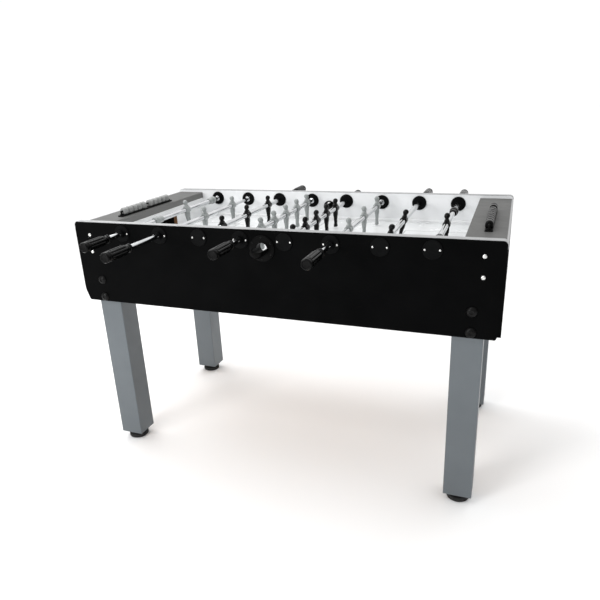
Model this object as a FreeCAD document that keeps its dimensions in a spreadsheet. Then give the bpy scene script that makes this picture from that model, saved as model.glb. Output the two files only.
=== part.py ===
import FreeCAD, Part
import os
import re

import Sketcher

# Full-size foosball table on four legs, with eight telescopic player rods.
# Origin: on the floor under the middle of the cabinet. +X runs to the right
# along the table, +Y to the back and +Z up. Millimetres.

DIMENSIONS = {
    "cabinet_length": 1450,
    "cabinet_width": 720,
    "rim_height": 890,
    "panel_height": 293,
    "panel_thickness": 24,
    "trim_thickness": 1.5,
    "corner_radius": 14,
    "skirt_inset": 14,
    "skirt_rise": 40,
    "skirt_upper_radius": 60,
    "skirt_lower_radius": 6,
    "rod_height": 854,
    "rod_pitch": 150,
    "tube_radius": 9,
    "tube_bore": 6.4,
    "core_radius": 6.3,
    "core_overlap": 50,
    "core_ring_radius": 11,
    "core_ring_end": 12,
    "core_head_radius": 8,
    "bush_bore": 9.1,
    "bush_radius": 20,
    "disc_radius": 28.5,
    "outer_disc": 4,
    "inner_disc": 6,
    "bush_boss": 12,
    "core_head_start": 15,
    "core_head_end": 21,
    "flange_screw": 21.35,
    "field_length": 1200,
    "field_height": 776,
    "glass_thickness": 5,
    "bed_thickness": 18,
    "strip_width": 6,
    "strip_height": 12,
    "strip_bevel": 4,
    "rail_length": 1100,
    "rail_side": 20,
    "joist_offset": 300,
    "joist_width": 30,
    "joist_depth": 40,
    "corner_block_length": 60,
    "corner_block_width": 45,
    "corner_block_bottom": 755,
    "goal_board": 16,
    "mouth_width": 200,
    "mouth_height": 62,
    "mouth_radius": 28,
    "cover_top": 878,
    "cover_thickness": 24,
    "cover_overlap": 5,
    "cover_rounding": 1.5,
    "lip_width": 6,
    "tray_wall": 8,
    "tray_floor": 698,
    "tray_width": 220,
    "return_width": 150,
    "return_sill": 706,
    "return_height": 52,
    "return_radius": 15,
    "board_height": 600,
    "board_thickness": 12,
    "entry_height": 830,
    "entry_bore": 18.5,
    "entry_radius": 22.3,
    "entry_reach": 38,
    "entry_flange": 42,
    "entry_plate": 5,
    "entry_screw": 35.5,
    "leg_width": 90,
    "leg_depth": 85,
    "leg_outer": 678,
    "leg_setback": 12,
    "leg_top": 720,
    "leg_bottom": 30,
    "leg_bolt": 642,
    "leg_bolt_low": 614,
    "leg_bolt_high": 678,
    "leg_bolt_radius": 5,
    "leg_rounding": 2,
    "panel_screw": 666,
    "panel_screw_low": 782,
    "panel_screw_high": 843,
    "panel_screw_radius": 3,
    "foot_radius": 37,
    "stem_radius": 6,
    "stem_length": 60,
    "grip_radius": 17,
    "grip_length": 120,
    "boss_radius": 13,
    "figure_half": 14,
    "head_height": 28,
    "foot_reach": 72,
    "collar_offset": 204,
    "collar_half": 23,
    "collar_radius": 15.5,
    "scorer_offset": 651,
    "scorer_shift": 14,
    "scorer_middle": -50,
    "scorer_axis": 896,
    "rail_width": 24,
    "rail_thickness": 5,
    "rail_end": 15,
    "wire_radius": 3,
    "wire_end": 7,
    "wire_boss": 6,
    "counter_pitch": 28,
    "counter_free": 22,
    "counter_width": 24,
    "counter_height": 25,
    "counter_crown": 10,
    "counter_bore": 3.3,
}

GAP = 0.3           # clear space between pieces that move past each other
FRONT, BACK = -1, 1
LEFT, RIGHT = -1, 1

# Each rod from left to right: how many figures it carries, which side its grip
# is on, where the middle of its figures stands across the table, and how far
# the figures hang out of plumb, in degrees.
RODS = (
    (1, FRONT, 62, -6),
    (2, FRONT, 62, 0),
    (3, BACK, 7, 0),
    (5, FRONT, 33, 0),
    (5, BACK, -51, 0),
    (3, FRONT, 43, 0),
    (2, BACK, -107, 12),
    (1, BACK, -32, 0),
)
# For each kind of rod: the distance between its figures, and from the middle
# of its figures to the neck of its grip.
FIGURE_SPACING = {1: 0, 2: 232.6, 3: 201, 5: 115}
NECK_DISTANCE = {1: 499, 2: 586, 3: 500, 5: 457}
# Counters in the front and the rear group of each scorer.
COUNTERS = {LEFT: (5, 5), RIGHT: (8, 2)}

INNER = "(cabinet_width / 2 - panel_thickness)"
COUNTER_REACH = f"(5 * counter_pitch + counter_free / 2 + {GAP})"
CABINET_BOTTOM = "(rim_height - panel_height)"
Y_DIRECTION = FreeCAD.Rotation(FreeCAD.Vector(1, 0, 0), -90)
HALF_TURN = FreeCAD.Rotation(FreeCAD.Vector(0, 0, 1), 180)
UPRIGHT = FreeCAD.Rotation()

os.makedirs("parts", exist_ok=True)
doc = FreeCAD.newDocument("foosball_table")
sheet = doc.addObject("Spreadsheet::Sheet", "Dims")
for row, (alias, number) in enumerate(DIMENSIONS.items(), start=1):
    sheet.set(f"A{row}", alias)
    sheet.set(f"B{row}", str(number))
    sheet.setAlias(f"B{row}", alias)
doc.recompute()

ALIAS = re.compile(r"[a-z_]+")
sub_parts = []


# ---------------------------------------------------------------- helpers

def linked(text):
    """Put the sheet's name before each driving dimension in an expression."""
    return ALIAS.sub(lambda m: "Dims." + m[0] if m[0] in DIMENSIONS else m[0], str(text))


def bind(thing, **lengths):
    for name, text in lengths.items():
        thing.setExpression(name, linked(text))


def value(text):
    """The number an expression stands for, in millimetres."""
    result = sheet.evalExpression(linked(text))
    return float(getattr(result, "Value", result))


def put(thing, at, turn=UPRIGHT):
    """Place a thing at a point given by three expressions."""
    thing.Placement = FreeCAD.Placement(FreeCAD.Vector(), turn)
    for axis, text in zip("xyz", at):
        thing.setExpression("Placement.Base." + axis, linked(text))
    return thing


def sub_part(thing, label):
    """Mark a document object as a finished sub-part."""
    thing.Label = label
    sub_parts.append(thing)
    return thing


def block(size, at):
    """Box of a size, from its lowest corner."""
    box = doc.addObject("Part::Box", "Block")
    bind(box, Length=size[0], Width=size[1], Height=size[2])
    return put(box, at)


def rod(radius, length, at, turn=Y_DIRECTION):
    """Cylinder from a point along a direction."""
    cylinder = doc.addObject("Part::Cylinder", "Cylinder")
    bind(cylinder, Radius=radius, Height=length)
    return put(cylinder, at, turn)


def sphere(radius, at):
    ball = doc.addObject("Part::Sphere", "Sphere")
    bind(ball, Radius=radius)
    return put(ball, at)


def fuse(*pieces):
    joined = doc.addObject("Part::MultiFuse", "Fuse")
    joined.Shapes = list(pieces)
    return joined


def cut(base, *tools):
    difference = doc.addObject("Part::Cut", "Cut")
    difference.Base = base
    difference.Tool = tools[0] if len(tools) == 1 else fuse(*tools)
    return difference


def group(pieces):
    """Separate solids that belong to one sub-part."""
    compound = doc.addObject("Part::Compound", "Group")
    compound.Links = list(pieces)
    return compound


def copy_of(master, at, turn=UPRIGHT):
    """One more of a piece that is made once."""
    return put(group([master]), at, turn)


def soften(solid, radius, chosen):
    """Round the edges that a test on the edge chooses."""
    doc.recompute()
    rounded = doc.addObject("Part::Fillet", "Rounded")
    rounded.Base = solid
    edges = enumerate(solid.Shape.Edges, start=1)
    rounded.Edges = [(n, value(radius), value(radius)) for n, edge in edges if chosen(edge)]
    return rounded


def runs_along(edge, axis):
    """Whether a straight edge is parallel to an axis, named X, Y or Z."""
    start, end = (vertex.Point for vertex in edge.Vertexes)
    unit = FreeCAD.Vector(*(float(axis == name) for name in "XYZ"))
    return (end - start).cross(unit).Length < 1e-6


def middle_of(edge):
    return edge.BoundBox.Center


def sketch_on(body, role, name):
    sketch = body.newObject("Sketcher::SketchObject", name)
    planes = [f for f in body.Origin.OriginFeatures if f.Role == role]
    sketch.AttachmentSupport = [(planes[0], "")]
    sketch.MapMode = "FlatFace"
    return sketch


def pin_point(sketch, geometry, point, corner):
    """Hold a sketch point at two distances from the sketch's origin."""
    for kind, axis, text in (("DistanceX", -2, corner[0]), ("DistanceY", -1, corner[1])):
        if text == "0":
            sketch.addConstraint(Sketcher.Constraint("PointOnObject", geometry, point, axis))
            continue
        index = sketch.addConstraint(
            Sketcher.Constraint(kind, -1, 1, geometry, point, value(text)))
        sketch.setExpression(f"Constraints[{index}]", linked(text))


def outline(sketch, corners):
    """Closed polygon whose corners follow the sheet."""
    points = [FreeCAD.Vector(value(x), value(y), 0) for x, y in corners]
    count = len(points)
    for i in range(count):
        sketch.addGeometry(Part.LineSegment(points[i], points[(i + 1) % count]))
    for i in range(count):
        sketch.addConstraint(Sketcher.Constraint("Coincident", i, 2, (i + 1) % count, 1))
    for i, corner in enumerate(corners):
        pin_point(sketch, i, 1, corner)


def circle(sketch, centre, radius):
    axis = FreeCAD.Vector(value(centre[0]), value(centre[1]), 0)
    ring = Part.Circle(axis, FreeCAD.Vector(0, 0, 1), value(radius))
    index = sketch.addGeometry(ring)
    hold = sketch.addConstraint(Sketcher.Constraint("Radius", index, value(radius)))
    sketch.setExpression(f"Constraints[{hold}]", linked(radius))
    pin_point(sketch, index, 3, centre)


def new_body(name):
    return doc.addObject("PartDesign::Body", name)


def turned(name, corners, role="XY_Plane"):
    """Body turned about its sketch's upright axis: corners are (radius, distance)."""
    body = new_body(name)
    profile = sketch_on(body, role, name + "_profile")
    outline(profile, corners)
    revolution = body.newObject("PartDesign::Revolution", name + "_turned")
    revolution.Profile = profile
    revolution.ReferenceAxis = (profile, ["V_Axis"])
    revolution.Angle = 360
    return body


def primitive(body, kind, turn=UPRIGHT, at=(0, 0, 0), **lengths):
    """Additive or subtractive primitive inside a body."""
    feature = body.newObject("PartDesign::" + kind, kind)
    bind(feature, **lengths)
    return put(feature, at, turn)


# ---------------------------------------------------------------- cabinet

def rim_strip(side):
    """Silver edge band over the top of a side panel and round its two corners."""
    length, depth = "cabinet_length", "corner_radius + 10"
    start = f"{side} * cabinet_width / 2 - {(side + 1) // 2} * panel_thickness"
    outer = block((length, "panel_thickness", depth),
                  ("-cabinet_length / 2", start, f"rim_height - ({depth})"))
    inner = block((length + " - 2 * trim_thickness", "panel_thickness", depth),
                  ("trim_thickness - cabinet_length / 2", start,
                   f"rim_height - trim_thickness - ({depth})"))
    below = block((length, "panel_thickness", depth),
                  ("-cabinet_length / 2", start, f"rim_height - 2 * ({depth})"))
    half = value("rim_height - 5")

    def top_corner(edge):
        return runs_along(edge, "Y") and middle_of(edge).z > half

    return cut(soften(outer, "corner_radius", top_corner),
               soften(inner, "corner_radius - trim_thickness", top_corner), below)


def side_panel(side, strip, fixings):
    """Laminated board with the holes for the rods, the ball entry and the fixings."""
    body = new_body("SidePanel")
    profile = sketch_on(body, "XZ_Plane", "panel_outline")
    half, bottom = "cabinet_length / 2", CABINET_BOTTOM
    outline(profile, [
        (f"-({half} - skirt_inset)", bottom), (f"{half} - skirt_inset", bottom),
        (half, f"{bottom} + skirt_rise"), (half, "rim_height"),
        (f"-{half}", "rim_height"), (f"-{half}", f"{bottom} + skirt_rise")])
    pad = body.newObject("PartDesign::Pad", "panel_board")
    pad.Profile = profile
    bind(pad, Length="panel_thickness")
    pad.Midplane = True

    holes = sketch_on(body, "XZ_Plane", "panel_holes")
    for number in range(len(RODS)):
        circle(holes, (f"{number - 3.5} * rod_pitch", "rod_height"), "bush_radius")
    circle(holes, ("0", "entry_height"), "entry_radius")
    for end in (LEFT, RIGHT):
        for height in ("leg_bolt_low", "leg_bolt_high"):
            circle(holes, (f"{end} * leg_bolt", height), "leg_bolt_radius")
        for height in ("panel_screw_low", "panel_screw_high"):
            circle(holes, (f"{end} * panel_screw", height), "panel_screw_radius")
    pocket = body.newObject("PartDesign::Pocket", "panel_drilling")
    pocket.Profile = holes
    pocket.Type = "ThroughAll"
    pocket.Midplane = True
    put(body, (0, f"{side} * (cabinet_width / 2 - panel_thickness / 2)", 0))

    def across_at(height):
        level = value(height)
        return lambda e: (len(e.Vertexes) == 2 and runs_along(e, "Y")
                          and abs(middle_of(e).z - level) < 1)

    rounded = soften(body, "corner_radius", across_at("rim_height"))
    rounded = soften(rounded, "skirt_upper_radius", across_at(bottom + " + skirt_rise"))
    rounded = soften(rounded, "skirt_lower_radius", across_at(bottom))
    return cut(rounded, strip, fixings)


def end_panel(end):
    """End board between the side panels, flush with the cover that is let into it."""
    outside = "cabinet_length / 2"

    def slab(width, thickness, low, high, inset):
        start = (f"{outside} - {inset} - ({thickness})" if end > 0
                 else f"-({outside}) + {inset}")
        return block((thickness, width, f"{high} - ({low})"),
                     (start, f"-({width}) / 2", low))

    board = slab(f"2 * {INNER}", "panel_thickness", CABINET_BOTTOM,
                 "cover_top - trim_thickness", "0")
    rebate = slab(f"2 * {INNER}", "panel_thickness - lip_width",
                  "cover_top - cover_thickness", "cover_top", "lip_width")
    opening = slab("return_width", "panel_thickness", "return_sill",
                   "return_sill + return_height", "0")
    return cut(board, rebate, soften(opening, "return_radius", lambda e: runs_along(e, "X")))


def lip_strip(end):
    """Silver band on the thin top edge of an end board, rounded like the panels' corners."""
    start = "cabinet_length / 2 - lip_width" if end > 0 else "-cabinet_length / 2"
    band = block(("lip_width", f"2 * {INNER}", "trim_thickness"),
                 (start, "-" + INNER, "cover_top - trim_thickness"))
    top, outside = value("cover_top"), end * value("cabinet_length / 2")
    return soften(band, "trim_thickness * 0.8",
                  lambda e: runs_along(e, "Y") and abs(middle_of(e).z - top) < 0.1
                  and abs(middle_of(e).x - outside) < 0.1)


def goal_wall(end):
    """White board across the end of the field, with the arched goal mouth."""
    start = "field_length / 2" if end > 0 else "-field_length / 2 - goal_board"
    bed_top = "(field_height - glass_thickness)"
    board = block(("goal_board", f"2 * {INNER}", f"cover_top - cover_thickness - {bed_top}"),
                  (start, "-" + INNER, bed_top))
    mouth = block(("goal_board", "mouth_width", "mouth_height + glass_thickness"),
                  (start, "-mouth_width / 2", bed_top))
    crown = value("field_height")
    return cut(board, soften(mouth, "mouth_radius",
                             lambda e: runs_along(e, "X") and middle_of(e).z > crown))


def goal_tray(end):
    """Chute behind the goal that carries the ball down to the return opening."""
    inside = "(cabinet_length / 2 - panel_thickness)"
    back = "(field_length / 2 + goal_board)"
    cheek_top = "(cover_top - cover_thickness)"

    def hollow(low_x, half_width, low_z, high_z):
        length = f"{inside} - ({low_x})"
        start = low_x if end > 0 else f"-{inside}"
        return block((length, f"2 * ({half_width})", f"{high_z} - ({low_z})"),
                     (start, f"-({half_width})", low_z))

    shell = hollow(f"{back} - tray_wall", "tray_width / 2", "tray_floor - tray_wall", cheek_top)
    space = hollow(back, "tray_width / 2 - tray_wall", "tray_floor", cheek_top)
    bed_line = "(field_height - glass_thickness - bed_thickness)"
    start = f"{back} - tray_wall" if end > 0 else f"-{back}"
    above_bed = block(("tray_wall", "tray_width", f"{cheek_top} - {bed_line}"),
                      (start, "-tray_width / 2", bed_line))
    return cut(shell, space, above_bed)


def end_cover(end):
    """Grey board that closes the top of the cabinet behind the goal."""
    low, high = "(field_length / 2 + cover_overlap)", "(cabinet_length / 2 - lip_width)"
    start = low if end > 0 else f"-{high}"
    board = block((f"{high} - {low}", f"2 * {INNER}", "cover_thickness"),
                  (start, "-" + INNER, "cover_top - cover_thickness"))
    top = value("cover_top - 0.5")
    edge_x = end * value(low)
    return soften(board, "cover_rounding",
                  lambda e: runs_along(e, "Y") and middle_of(e).z > top
                  and abs(middle_of(e).x - edge_x) < 1)


def bottom_board():
    """Plywood board that closes the cabinet from below, notched round the legs."""
    inside = "(cabinet_length / 2 - panel_thickness)"
    notch_x, notch_y = "(leg_outer - leg_width - 1)", f"({INNER} - leg_depth + leg_setback - 1)"
    board = block((f"2 * {inside}", f"2 * {INNER}", "board_thickness"),
                  (f"-{inside}", "-" + INNER, "board_height"))
    notches = []
    for end in (LEFT, RIGHT):
        for side in (FRONT, BACK):
            x = notch_x if end > 0 else f"-{inside}"
            y = notch_y if side > 0 else "-" + INNER
            notches.append(block((f"{inside} - {notch_x}", f"{INNER} - {notch_y}",
                                  "board_thickness"), (x, y, "board_height")))
    return cut(board, *notches)


def field_strip(side):
    """Low strip that holds the glass down along a side wall, bevelled towards the field."""
    start = f"{INNER} - strip_width" if side > 0 else "-" + INNER
    strip = block(("field_length", "strip_width", "strip_height"),
                  ("-field_length / 2", start, "field_height"))
    doc.recompute()
    bevel = doc.addObject("Part::Chamfer", "Bevel")
    bevel.Base = strip
    top, inner = value("field_height + strip_height - 1"), value(INNER + " - strip_width")
    size = value("strip_bevel")
    bevel.Edges = [(n, size, size) for n, e in enumerate(strip.Shape.Edges, start=1)
                   if runs_along(e, "X") and middle_of(e).z > top
                   and abs(abs(middle_of(e).y) - inner) < 1]
    return bevel


def batten_set(fixings):
    """Battens under the bed, and the corner blocks that the panel screws bite into."""
    under = "(field_height - glass_thickness - bed_thickness)"
    rails = [block(("rail_length", "rail_side", "rail_side"),
                   ("-rail_length / 2", y, f"{under} - rail_side"))
             for y in ("-" + INNER, f"{INNER} - rail_side")]
    joists = [block(("joist_width", f"2 * ({INNER} - rail_side)", "joist_depth"),
                    (f"{hand} * joist_offset - joist_width / 2", f"rail_side - {INNER}",
                     f"{under} - joist_depth"))
              for hand in (LEFT, RIGHT)]
    cover_line = "(cover_top - cover_thickness)"
    corner = "(cabinet_length / 2 - panel_thickness)"
    size = ("corner_block_length", "corner_block_width", f"{cover_line} - corner_block_bottom")
    blocks = [block(size, (f"{corner} - corner_block_length" if end > 0 else f"-{corner}",
                           f"{INNER} - corner_block_width" if side > 0 else "-" + INNER,
                           "corner_block_bottom"))
              for end in (LEFT, RIGHT) for side in (FRONT, BACK)]
    return group(rails + joists + [cut(corner_block, fixings) for corner_block in blocks])


# ---------------------------------------------------------------- legs and feet

def leg(end, side):
    """Square leg with a shoulder that stands under the side panel."""
    face = "(cabinet_width / 2 - leg_setback)"
    x = "leg_outer - leg_width" if end > 0 else "-leg_outer"
    y = f"{face} - leg_depth" if side > 0 else "-" + face
    post = block(("leg_width", "leg_depth", "leg_top - leg_bottom"), (x, y, "leg_bottom"))
    rounded = soften(post, "leg_rounding", lambda e: runs_along(e, "Z"))
    cut_y = INNER if side > 0 else "-" + face
    step = block(("leg_width", "panel_thickness - leg_setback", f"leg_top - {CABINET_BOTTOM}"),
                 (x, cut_y, CABINET_BOTTOM))
    centre = (f"{end} * (leg_outer - leg_width / 2)", f"{side} * ({face} - leg_depth / 2)")
    stem_hole = rod(f"stem_radius + {GAP}", "stem_length + 10", (*centre, "leg_bottom"), UPRIGHT)
    depth = "(leg_depth - leg_setback)"
    start = f"{INNER} - {depth} + 5" if side > 0 else "-" + INNER
    bolt_holes = [rod("leg_bolt_radius", depth + " - 5", (f"{end} * leg_bolt", start, height))
                  for height in ("leg_bolt_low", "leg_bolt_high")]
    return cut(rounded, step, stem_hole, *bolt_holes)


def foot():
    """Levelling foot: rubber pad, hub and threaded stem, turned about Z."""
    return turned("foot", [
        ("0", "0"), ("foot_radius - 2", "0"), ("foot_radius", "3"), ("foot_radius", "14"),
        ("foot_radius - 3", "17"), ("18", "19"), ("18", f"leg_bottom - {GAP}"),
        ("stem_radius", f"leg_bottom - {GAP}"), ("stem_radius", "leg_bottom + stem_length - 1"),
        ("stem_radius - 1", "leg_bottom + stem_length"), ("0", "leg_bottom + stem_length")],
        "XZ_Plane")


def leg_bolt():
    """Bolt with a domed black cap; its head bears on the plane y = 0, shank towards +Y."""
    return turned("leg_bolt", [
        ("0", "-8"), ("6", "-7.5"), ("11", "-6"), ("15", "-3.5"), ("16", "-1.5"), ("16", "0"),
        ("leg_bolt_radius", "0"), ("leg_bolt_radius", "panel_thickness + 45"),
        ("0", "panel_thickness + 45")])


def cross_screw(name, head, dome, shank, length):
    """Screw with a domed head and a cross recess; head bears on y = 0, shank towards +Y."""
    body = turned(name, [
        ("0", f"-{dome}"), (f"{head} * 0.55", f"-{dome} * 0.85"), (f"{head}", f"-{dome} * 0.25"),
        (f"{head}", "0"), (f"{shank}", "0"), (f"{shank}", f"{length} - 1"), ("0", f"{length}")])
    doc.recompute()
    before = body.Shape.Volume
    for wide, tall in ((1.1, 0.3), (0.3, 1.1)):
        primitive(body, "SubtractiveBox", UPRIGHT,
                  (-head * wide / 2, -dome - 1, -head * tall / 2),
                  Length=head * wide, Width=1 + dome * 0.6, Height=head * tall)
    doc.recompute()
    assert body.Shape.Volume < before, name
    return body


# ---------------------------------------------------------------- rods

def tube_bush():
    """Bush that a rod's tube slides in: y = 0 is the panel's inner face, -Y is outwards."""
    outer = "(panel_thickness + outer_disc)"
    return turned("tube_bush", [
        ("bush_bore", "inner_disc"), ("disc_radius - 2", "inner_disc"),
        ("disc_radius - 0.5", "inner_disc - 2"), ("disc_radius - 0.5", "0"),
        ("bush_radius", "0"), ("bush_radius", "-panel_thickness"),
        ("disc_radius", "-panel_thickness"), ("disc_radius", f"1 - {outer}"),
        ("disc_radius - 1", f"-{outer}"), ("boss_radius", f"-{outer}"),
        ("boss_radius - 1", f"-{outer} - bush_boss"), ("bush_bore", f"-{outer} - bush_boss")])


def core_bush():
    """Bush that holds the end of a rod's core, closed on the outside."""
    outer = "(panel_thickness + outer_disc)"
    return turned("core_bush", [
        ("tube_bore", "inner_disc"), ("disc_radius - 2", "inner_disc"),
        ("disc_radius - 0.5", "inner_disc - 2"), ("disc_radius - 0.5", "0"),
        ("bush_radius", "0"), ("bush_radius", "-panel_thickness"),
        ("disc_radius", "-panel_thickness"), ("disc_radius", f"1 - {outer}"),
        ("disc_radius - 1", f"-{outer}"), ("0", f"-{outer}"), ("0", f"-core_head_end - {GAP}"),
        (f"core_head_radius + {GAP}", f"-core_head_end - {GAP}"),
        (f"core_head_radius + {GAP}", f"{GAP} - core_head_start"),
        ("tube_bore", f"{GAP} - core_head_start")])


def figure_half_span(figures):
    return FIGURE_SPACING[figures] * (figures - 1) / 2


def tube_end(figures):
    """Distance from the middle of the figures to the open end of the tube."""
    if figures == 1:
        return "(collar_offset + collar_half + 2)"
    return f"({figure_half_span(figures)} + figure_half + 4)"


def core(figures):
    """Inner rod, held at the far wall: y = 0 is that panel's inner face, +Y inwards."""
    travel = f"({INNER} - core_ring_end - 1 - {tube_end(figures)})"
    reach = f"{INNER} + {travel} - {tube_end(figures)} + core_overlap"
    ring_start = f"inner_disc + {GAP}"
    return turned(f"core_{figures}", [
        ("0", "-core_head_end"), ("core_head_radius", "-core_head_end"),
        ("core_head_radius", "-core_head_start"), ("core_radius", "-core_head_start"),
        ("core_radius", ring_start), ("core_ring_radius", ring_start),
        ("core_ring_radius", "core_ring_end - 1"), ("core_ring_radius - 1", "core_ring_end"),
        ("core_radius", "core_ring_end"), ("core_radius", f"{reach} - 1"),
        ("core_radius - 1", reach), ("0", reach)])


def tube(figures):
    """Outer tube: y = 0 is the middle of the figures, the grip's end is towards -Y."""
    neck = NECK_DISTANCE[figures]
    start = f"-({neck} + grip_length - 12)"
    length = f"{neck} + grip_length - 12 + {tube_end(figures)}"
    return cut(rod("tube_radius", length, (0, start, 0)), rod("tube_bore", length, (0, start, 0)))


def grip():
    """Fluted hand grip: y = 0 is its neck, its closed end is towards -Y."""
    end, radius = "grip_length", "grip_radius"
    body = turned("grip", [
        ("tube_radius", "0"), ("14", "0"), ("14.5", "-2"), ("14", "-5"), ("11.5", "-7"),
        ("11.5", "-14"), ("13", "-18"), (radius, "-28"), (radius, f"14 - {end}"),
        (f"{radius} - 1.6", f"13 - {end}"), (f"{radius} - 1.6", f"11 - {end}"),
        (f"{radius} - 0.4", f"10 - {end}"), (f"{radius} - 0.4", f"4 - {end}"),
        (f"{radius} - 4", f"-{end}"), ("0", f"-{end}"), ("0", f"12 - {end}"),
        ("tube_radius", f"12 - {end}")])
    doc.recompute()
    before = body.Shape.Volume
    flute = primitive(body, "SubtractiveCylinder", Y_DIRECTION,
                      (f"{radius} + 1.6", f"17 - {end}", 0),
                      Radius="3.4", Height=f"{end} - 49")
    pattern = body.newObject("PartDesign::PolarPattern", "flutes")
    pattern.Originals = [flute]
    pattern.Axis = ([f for f in body.Origin.OriginFeatures if f.Role == "Y_Axis"][0], [""])
    pattern.Angle = 360
    pattern.Occurrences = 9
    body.Tip = pattern
    doc.recompute()
    assert body.Shape.Volume < before - 1000, "flutes"
    return body


# Cross-sections of a figure from its shoulders to its foot: half its depth, half
# its width, and the height of the section above the rod's axis.
FIGURE_SECTIONS = (
    ("5", "8", "19"),
    ("9.5", "figure_half", "14.5"),
    ("11.5", "figure_half", "2"),
    ("8.5", "11", "-16"),
    ("5.2", "8.6", "-38"),
    ("4.4", "7.4", "8 - foot_reach + 6"),
    ("5.8", "9.6", "8 - foot_reach"),
    ("6.4", "10.4", "-foot_reach"),
)


def figure():
    """Player on a rod: y along the rod, z up through the head, standing on its foot."""
    body = new_body("figure")
    sections = []
    for number, (depth, width, height) in enumerate(FIGURE_SECTIONS):
        section = sketch_on(body, "XY_Plane", f"section_{number}")
        section.setExpression("AttachmentOffset.Base.z", linked(height))
        flat = (f"0.5 * ({depth})", f"0.6 * ({width})")
        outline(section, [
            (depth, f"-{flat[1]}"), (depth, flat[1]), (flat[0], width), (f"-{flat[0]}", width),
            (f"-({depth})", flat[1]), (f"-({depth})", f"-{flat[1]}"),
            (f"-{flat[0]}", f"-({width})"), (flat[0], f"-({width})")])
        sections.append(section)
    loft = body.newObject("PartDesign::AdditiveLoft", "trunk")
    loft.Profile = sections[0]
    loft.Sections = sections[1:]
    loft.Ruled = True
    primitive(body, "AdditiveCylinder", Y_DIRECTION, (0, "-figure_half", 0),
              Radius="boss_radius", Height="2 * figure_half")
    primitive(body, "AdditiveCylinder", UPRIGHT, (0, 0, "14"), Radius="4.4", Height="8")
    primitive(body, "AdditiveEllipsoid", UPRIGHT, (0, 0, "head_height"),
              Radius1="10", Radius2="8.2", Radius3="8")
    doc.recompute()
    before = body.Shape.Volume
    primitive(body, "SubtractiveCylinder", Y_DIRECTION, (0, "-figure_half - 2", 0),
              Radius="tube_radius", Height="2 * figure_half + 4")
    doc.recompute()
    assert body.Shape.Volume < before - 5000, "figure bore"
    return body


def stop_collar():
    """Stepped ring that stops a single player's rod: its wide end is towards +Y."""
    half, radius = "collar_half", "collar_radius"
    return turned("stop_collar", [
        ("tube_radius", f"-{half}"), (f"{radius} - 4", f"-{half}"), (f"{radius} - 3", f"1 - {half}"),
        (f"{radius} - 3", "2"), (radius, "4"), (radius, f"{half} - 1.5"),
        (f"{radius} - 1.5", half), ("tube_radius", half)])


def figures_of(count, master, collar):
    """All that is fixed to one rod's tube between the walls."""
    spacing = FIGURE_SPACING[count]
    pieces = [copy_of(master, (0, spacing * (i - (count - 1) / 2), 0)) for i in range(count)]
    if count == 1:
        pieces.append(copy_of(collar, (0, "collar_offset", 0)))
        pieces.append(copy_of(collar, (0, "-collar_offset", 0), HALF_TURN))
    return group(pieces)


# ---------------------------------------------------------------- ball entry and scorers

def ball_entry():
    """Entry cup: y = 0 is the panel's inner face, -Y outwards, z = 0 its axis."""
    outer = "(panel_thickness + entry_plate)"
    sleeve = turned("entry_sleeve", [
        ("entry_bore", "4"), ("entry_radius + 1.5", "4"), ("entry_radius + 1.5", "0"),
        ("entry_radius", "0"), ("entry_radius", "-panel_thickness"),
        ("entry_flange", "-panel_thickness"), ("entry_flange", f"1.5 - {outer}"),
        ("entry_flange - 3", f"-{outer}"), ("entry_bore", f"-{outer}")])

    def spoon(radius):
        end = f"-{outer} - entry_reach"
        barrel = rod(radius, "entry_reach + 2", (0, end, 0))
        return fuse(barrel, sphere(radius, (0, end, 0)))

    above = block((80, 90, 40), (-40, "-110", 2))
    inside = block((80, 40, 80), (-40, f"-{outer}", -40))
    cup = cut(spoon("entry_radius"), spoon("entry_bore"), above, inside)
    return fuse(sleeve, cup)


def scorer_x(end):
    return f"({end} * scorer_offset + scorer_shift)"


def wire_ends():
    """Where across the table the two bent ends of a scorer's wire stand."""
    return [f"scorer_middle + {hand} * ({COUNTER_REACH} + wire_end)" for hand in (FRONT, BACK)]


def scorer_rail(end):
    """Flat rail with a boss at each end for the wire."""
    x = scorer_x(end)
    length = f"2 * ({COUNTER_REACH} + rail_end)"
    rail = block(("rail_width", length, "rail_thickness"),
                 (f"{x} - rail_width / 2", f"scorer_middle - {length} / 2", "cover_top"))
    rounded = soften(rail, "rail_thickness - 1", lambda e: runs_along(e, "Z"))
    bosses = [rod("wire_boss", "rail_thickness + 4", (x, y, "cover_top"), UPRIGHT)
              for y in wire_ends()]
    holes = [rod("wire_radius", "rail_thickness + 4", (x, y, "cover_top"), UPRIGHT)
             for y in wire_ends()]
    return cut(fuse(rounded, *bosses), *holes)


def scorer_wire(end):
    """Steel wire that the counters slide on, bent down into the rail at both ends."""
    x = scorer_x(end)
    front, back = wire_ends()
    straight = rod("wire_radius", f"2 * ({COUNTER_REACH} + wire_end)", (x, front, "scorer_axis"))
    legs = [rod("wire_radius", "scorer_axis - cover_top", (x, y, "cover_top"), UPRIGHT)
            for y in (front, back)]
    bends = [sphere("wire_radius", (x, y, "scorer_axis")) for y in (front, back)]
    return fuse(straight, *legs, *bends)


def counter():
    """Score counter with a round crown: y = 0 at its front face, z = 0 on the wire."""
    length = f"(counter_pitch - {2 * GAP})"
    body = block(("counter_width", length, "counter_height"),
                 ("-counter_width / 2", 0, "-counter_height / 2"))
    top = value("counter_height / 2 - 1")
    rounded = soften(body, "counter_crown", lambda e: runs_along(e, "Y") and middle_of(e).z > top)
    hole = rod("counter_bore", "counter_pitch", (0, 0, 0))
    return cut(rounded, hole)


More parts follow.
